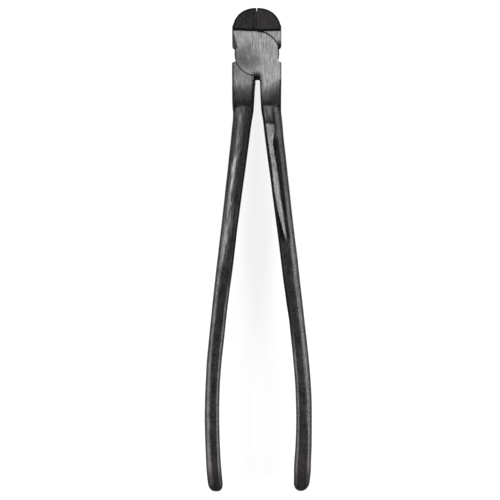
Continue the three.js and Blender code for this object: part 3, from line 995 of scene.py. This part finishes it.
def add_node(tree, kind, inputs=None, **settings):
    """Adds a node with its settings, and gives each input, by name or number, a value or a link."""
    node = tree.nodes.new(kind)
    for name, value in settings.items():
        setattr(node, name, value)
    for key, value in (inputs or {}).items():
        if isinstance(value, bpy.types.NodeSocket):
            tree.links.new(value, node.inputs[key])
        else:
            node.inputs[key].default_value = value
    return node


def new_material(name):
    material = bpy.data.materials.new(name)
    material.use_nodes = True
    material.node_tree.nodes.clear()
    return material


# Wheel-ground steel: bare carbon steel with short bright and dark marks down the tool and one
# darker patch on the joint. It gives the eye the tool's pale, brushed middle. Sizes are
# millimetres; the wheel's real marks are too fine to show, so they are drawn 1 mm wide.

GROUND_DARK = "#6c6c6c"
GROUND_LIGHT = "#a6a6a6"
DARK_PATCH = "#515151"
DARK_PATCH_CENTRE = (-12, -4.5, 8)
DARK_PATCH_RADII = (22, 16, 30)
DARK_PATCH_FADE = (0.55, 1.6)
DARK_PATCH_SHARE = 0.9
GROUND_ROUGHNESS = 0.42
MARKS = {"long": (0.9, 9, 0.9), "short": (0.55, 3, 0.55), "cloud": (7, 9, 7)}
SHORT_MARK_SHARE = 0.4
MARK_CONTRAST = (0.33, 0.67)
MARK_DETAIL = 2
MARK_RELIEF = 0.00001


def ground_steel(tree, place):
    """The colour of the ground faces, and the height of the wheel's marks."""
    fields = {}
    for field, size in MARKS.items():
        stretched = add_node(
            tree, "ShaderNodeMapping", {"Vector": place, "Scale": [1 / length for length in size]}
        ).outputs[0]
        fields[field] = add_node(
            tree, "ShaderNodeTexNoise", {"Vector": stretched, "Scale": 1, "Detail": MARK_DETAIL}
        ).outputs[0]
    marks = add_node(
        tree, "ShaderNodeMix", {0: SHORT_MARK_SHARE, 2: fields["long"], 3: fields["short"]}
    ).outputs[0]
    share = add_node(
        tree,
        "ShaderNodeMapRange",
        {"Value": marks, "From Min": MARK_CONTRAST[0], "From Max": MARK_CONTRAST[1]},
    ).outputs[0]
    steel = add_node(
        tree,
        "ShaderNodeMix",
        {0: share, 6: linear(GROUND_DARK), 7: linear(GROUND_LIGHT)},
        data_type="RGBA",
    ).outputs[2]
    centred = add_node(
        tree, "ShaderNodeVectorMath", {0: place, 1: DARK_PATCH_CENTRE}, operation="SUBTRACT"
    ).outputs[0]
    centred = add_node(
        tree, "ShaderNodeVectorMath", {0: centred, 1: DARK_PATCH_RADII}, operation="DIVIDE"
    ).outputs[0]
    away = add_node(tree, "ShaderNodeVectorMath", {0: centred}, operation="LENGTH").outputs[1]
    cloudy = add_node(
        tree, "ShaderNodeMath", {0: away, 1: fields["cloud"]}, operation="ADD"
    ).outputs[0]
    patch = add_node(
        tree,
        "ShaderNodeMapRange",
        {
            "Value": cloudy,
            "From Min": DARK_PATCH_FADE[0],
            "From Max": DARK_PATCH_FADE[1],
            "To Min": DARK_PATCH_SHARE,
            "To Max": 0,
        },
        interpolation_type="SMOOTHSTEP",
    ).outputs[0]
    steel = add_node(
        tree, "ShaderNodeMix", {0: patch, 6: steel, 7: linear(DARK_PATCH)}, data_type="RGBA"
    ).outputs[2]
    return steel, marks


# Drop-forged carbon steel with its black oxide: nearly black, mottled over 5 to 8 mm, with faint
# streaks along the bar. Forge scale is blacker and rougher, and the same black is painted on as
# shade along edges, steep sides and hollows. Worn crests are grey, with a painted highlight on
# them, and one jaw and the handles' ends have browned a little. It gives the eye black jaws and
# handles whose flanks catch the light. Sizes are millimetres, but a relief is in metres, as its
# node takes it.

OXIDE_DARK = "#191919"
OXIDE_LIGHT = "#323232"
BROWNED_OXIDE = "#363132"
BROWNED_SHARE = 0.5
WORN_OXIDE_AND_HIGHLIGHT = "#6f6f6f"
FORGE_SCALE_AND_SHADE = "#0b0b0b"
OXIDE_ROUGHNESS = (0.33, 0.48)
SCALE_ROUGHNESS = 0.6
SKIN_MARKS = {
    "mottle": (5, 8, 5),
    "streak": (0.9, 14, 0.9),
    "rub": (0.75, 9, 0.75),
    "grit": (0.9, 1.1, 0.9),
    "pit": (1.7, 2.2, 1.7),
}
SKIN_DETAIL = 3
STREAK_SHARE = 0.45
GRIT_SHARE = 0.5
OXIDE_CONTRAST = (0.4, 0.6)
RUB_CONTRAST = (0.4, 0.6)
RUB_LEAST = 0.15
SPECKLE_CONTRAST = (0.3, 0.55)
SPECKLE_LEAST = 0.8
GRIT_RELIEF_SHARE = 0.35
SKIN_RELIEF = 0.00012

steel = new_material("black_oxide_and_wheel_ground_steel")
tree = steel.node_tree
finish_and_painted_light = add_node(tree, "ShaderNodeAttribute", attribute_name="finish_and_painted_light").outputs["Vector"]
ground_less_shade, wear_and_highlight, scale_and_shade = add_node(tree, "ShaderNodeSeparateXYZ", {0: finish_and_painted_light}).outputs
place = add_node(tree, "ShaderNodeAttribute", attribute_name="bar_place").outputs["Vector"]
skin = {}
for field, size in SKIN_MARKS.items():
    stretched = add_node(
        tree, "ShaderNodeMapping", {"Vector": place, "Scale": [1 / length for length in size]}
    ).outputs[0]
    skin[field] = add_node(
        tree, "ShaderNodeTexNoise", {"Vector": stretched, "Scale": 1, "Detail": SKIN_DETAIL}
    ).outputs[0]
oxide_share = add_node(
    tree, "ShaderNodeMix", {0: STREAK_SHARE, 2: skin["mottle"], 3: skin["streak"]}
).outputs[0]
oxide_share = add_node(
    tree, "ShaderNodeMix", {0: GRIT_SHARE, 2: oxide_share, 3: skin["grit"]}
).outputs[0]
oxide_share = add_node(
    tree,
    "ShaderNodeMapRange",
    {"Value": oxide_share, "From Min": OXIDE_CONTRAST[0], "From Max": OXIDE_CONTRAST[1]},
).outputs[0]
tone = add_node(
    tree,
    "ShaderNodeMix",
    {0: oxide_share, 6: linear(OXIDE_DARK), 7: linear(OXIDE_LIGHT)},
    data_type="RGBA",
).outputs[2]
browned = add_node(tree, "ShaderNodeAttribute", attribute_name="browned").outputs["Fac"]
browned = add_node(
    tree, "ShaderNodeMath", {0: browned, 1: BROWNED_SHARE}, operation="MULTIPLY"
).outputs[0]
tone = add_node(
    tree, "ShaderNodeMix", {0: browned, 6: tone, 7: linear(BROWNED_OXIDE)}, data_type="RGBA"
).outputs[2]
# Forge scale, and painted shade in its colour.
tone = add_node(
    tree, "ShaderNodeMix", {0: scale_and_shade, 6: tone, 7: linear(FORGE_SCALE_AND_SHADE)}, data_type="RGBA"
).outputs[2]
patchy = add_node(
    tree,
    "ShaderNodeMapRange",
    {
        "Value": skin["rub"],
        "From Min": RUB_CONTRAST[0],
        "From Max": RUB_CONTRAST[1],
        "To Min": RUB_LEAST,
    },
).outputs[0]
# Worn oxide on the crests, and the painted highlight on them, are grey.
worn_and_highlit = add_node(tree, "ShaderNodeMath", {0: wear_and_highlight, 1: patchy}, operation="MULTIPLY").outputs[0]
tone = add_node(
    tree, "ShaderNodeMix", {0: worn_and_highlit, 6: tone, 7: linear(WORN_OXIDE_AND_HIGHLIGHT)}, data_type="RGBA"
).outputs[2]

# Both levers were ground in one pass, so the marks run on from one to the other: each face
# counts its places as it is seen from its own side.
x, y, z = add_node(tree, "ShaderNodeSeparateXYZ", {0: place}).outputs
side = add_node(tree, "ShaderNodeMath", {0: z}, operation="SIGN").outputs[0]
seen_x = add_node(tree, "ShaderNodeMath", {0: x, 1: side}, operation="MULTIPLY").outputs[0]
seen_z = add_node(tree, "ShaderNodeMath", {0: z}, operation="ABSOLUTE").outputs[0]
seen_place = add_node(tree, "ShaderNodeCombineXYZ", {0: seen_x, 1: y, 2: seen_z}).outputs[0]
bare, marks = ground_steel(tree, seen_place)
speckle = add_node(
    tree,
    "ShaderNodeMapRange",
    {
        "Value": skin["grit"],
        "From Min": SPECKLE_CONTRAST[0],
        "From Max": SPECKLE_CONTRAST[1],
        "To Min": SPECKLE_LEAST,
    },
).outputs[0]
ground_less_shade = add_node(tree, "ShaderNodeMath", {0: ground_less_shade, 1: speckle}, operation="MULTIPLY").outputs[0]
tone = add_node(tree, "ShaderNodeMix", {0: ground_less_shade, 6: tone, 7: bare}, data_type="RGBA").outputs[2]
roughness = add_node(
    tree,
    "ShaderNodeMapRange",
    {"Value": skin["mottle"], "To Min": OXIDE_ROUGHNESS[0], "To Max": OXIDE_ROUGHNESS[1]},
).outputs[0]
roughness = add_node(
    tree, "ShaderNodeMix", {0: scale_and_shade, 2: roughness, 3: SCALE_ROUGHNESS}
).outputs[0]
roughness = add_node(
    tree, "ShaderNodeMix", {0: ground_less_shade, 2: roughness, 3: GROUND_ROUGHNESS}
).outputs[0]
uneven = add_node(
    tree, "ShaderNodeMix", {0: GRIT_RELIEF_SHARE, 2: skin["pit"], 3: skin["grit"]}
).outputs[0]
relief = add_node(
    tree, "ShaderNodeBump", {"Height": uneven, "Strength": 1, "Distance": SKIN_RELIEF}
).outputs[0]
relief = add_node(
    tree,
    "ShaderNodeBump",
    {"Height": marks, "Strength": ground_less_shade, "Distance": MARK_RELIEF, "Normal": relief},
).outputs[0]
shader = add_node(
    tree,
    "ShaderNodeBsdfPrincipled",
    {"Base Color": tone, "Metallic": 1, "Roughness": roughness, "Normal": relief},
)
add_node(tree, "ShaderNodeOutputMaterial", {"Surface": shader.outputs[0]})

front_lever.data.materials.append(steel)
back_lever.data.materials.append(steel)
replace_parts(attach(front_lever, "front"), "front_lever")
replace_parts(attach(back_lever, "back"), "back_lever")

# The rivet.
# A straight steel pin, set hot so that both ends fill their countersinks, then ground level
# with the joint faces in the same pass as the levers, so the wheel's marks run across it.

rivet_steel = new_material("wheel_ground_rivet_steel")
tree = rivet_steel.node_tree
here = add_node(tree, "ShaderNodeTexCoord").outputs["Object"]
place = add_node(
    tree,
    "ShaderNodeMapping",
    {"Vector": here, "Scale": [1 / MM] * 3, "Location": -pivot / MM},
).outputs[0]
bare, marks = ground_steel(tree, place)
relief = add_node(
    tree, "ShaderNodeBump", {"Height": marks, "Strength": 1, "Distance": MARK_RELIEF}
).outputs[0]
shader = add_node(
    tree,
    "ShaderNodeBsdfPrincipled",
    {"Base Color": bare, "Metallic": 1, "Roughness": GROUND_ROUGHNESS, "Normal": relief},
)
add_node(tree, "ShaderNodeOutputMaterial", {"Surface": shader.outputs[0]})
rivet = frame["nodes"]["pivot_rivet"]
rivet.data.materials.clear()
rivet.data.materials.append(rivet_steel)

# The studio.
# A wide white floor that glows to the camera and in mirrors, so that it stays white, yet keeps
# the tool's soft shadow, two long soft boxes low at the tool's sides, and an even white room.
# Sizes are metres.

FLOOR_SIZE = 30
floor_bm = bmesh.new()
bmesh.ops.create_grid(floor_bm, x_segments=1, y_segments=1, size=FLOOR_SIZE / 2)
floor = as_object(floor_bm, "floor")


def seen_by_eye_or_mirror(tree):
    """1 for what the camera sees, straight, in a mirror or through glass, and 0 for light."""
    path = add_node(tree, "ShaderNodeLightPath").outputs
    seen = path["Is Camera Ray"]
    for ray in ("Is Glossy Ray", "Is Transmission Ray"):
        seen = add_node(
            tree, "ShaderNodeMath", {0: seen, 1: path[ray]}, operation="ADD"
        ).outputs[0]
    return seen


BACKGROUND_SHARE = 0.84
FLOOR_TONE = 0.9
WHITE = [1] * 4
floor_paint = new_material("matt_white_floor_paint")
tree = floor_paint.node_tree
seen = seen_by_eye_or_mirror(tree)
share = add_node(
    tree, "ShaderNodeMath", {0: seen, 1: BACKGROUND_SHARE}, operation="MULTIPLY"
).outputs[0]
paint = add_node(tree, "ShaderNodeBsdfDiffuse", {"Color": [FLOOR_TONE] * 3 + [1]}).outputs[0]
glow = add_node(tree, "ShaderNodeEmission", {"Color": WHITE, "Strength": 1}).outputs[0]
mixed = add_node(tree, "ShaderNodeMixShader", {0: share, 1: paint, 2: glow}).outputs[0]
add_node(tree, "ShaderNodeOutputMaterial", {"Surface": mixed})
floor.data.materials.append(floor_paint)

ROOM_LIGHT = 0.45
world = bpy.data.worlds.new("white_room")
bpy.context.scene.world = world
world.use_nodes = True
tree = world.node_tree
tree.nodes.clear()
seen = seen_by_eye_or_mirror(tree)
level = add_node(
    tree, "ShaderNodeMapRange", {"Value": seen, "To Min": ROOM_LIGHT, "To Max": 1}
).outputs[0]
room = add_node(tree, "ShaderNodeBackground", {"Color": WHITE, "Strength": level}).outputs[0]
add_node(tree, "ShaderNodeOutputWorld", {"Surface": room})

BOX_LENGTH = 1.5
BOX_WIDTH = 0.6
BOX_DISTANCE = 1.3
BOX_HEIGHT = 0.75
BOX_POWER = 50
for side in (-1, 1):
    lamp = bpy.data.lights.new("soft_box", "AREA")
    lamp.shape = "RECTANGLE"
    lamp.size = BOX_WIDTH
    lamp.size_y = BOX_LENGTH
    lamp.energy = BOX_POWER
    box = bpy.data.objects.new("soft_box", lamp)
    box.location = (side * BOX_DISTANCE, 0, BOX_HEIGHT)
    box.rotation_euler = (0, side * math.atan2(BOX_DISTANCE, BOX_HEIGHT), 0)
    box.visible_camera = False
    bpy.context.scene.collection.objects.link(box)

CAMERA_HEIGHT = 4
FRAME_WIDTH = 0.3683
FRAME_CENTRE = (-0.0056, -0.0002)
CAMERA_ROLL = -0.0039
camera_data = bpy.data.cameras.new("camera")
camera_data.lens = camera_data.sensor_width * (CAMERA_HEIGHT - pivot.z) / FRAME_WIDTH
camera = bpy.data.objects.new("camera", camera_data)
camera.location = (*FRAME_CENTRE, CAMERA_HEIGHT)
camera.rotation_euler = (0, 0, CAMERA_ROLL)
bpy.context.scene.collection.objects.link(camera)
bpy.context.scene.camera = camera
bpy.context.scene.view_settings.view_transform = "Standard"
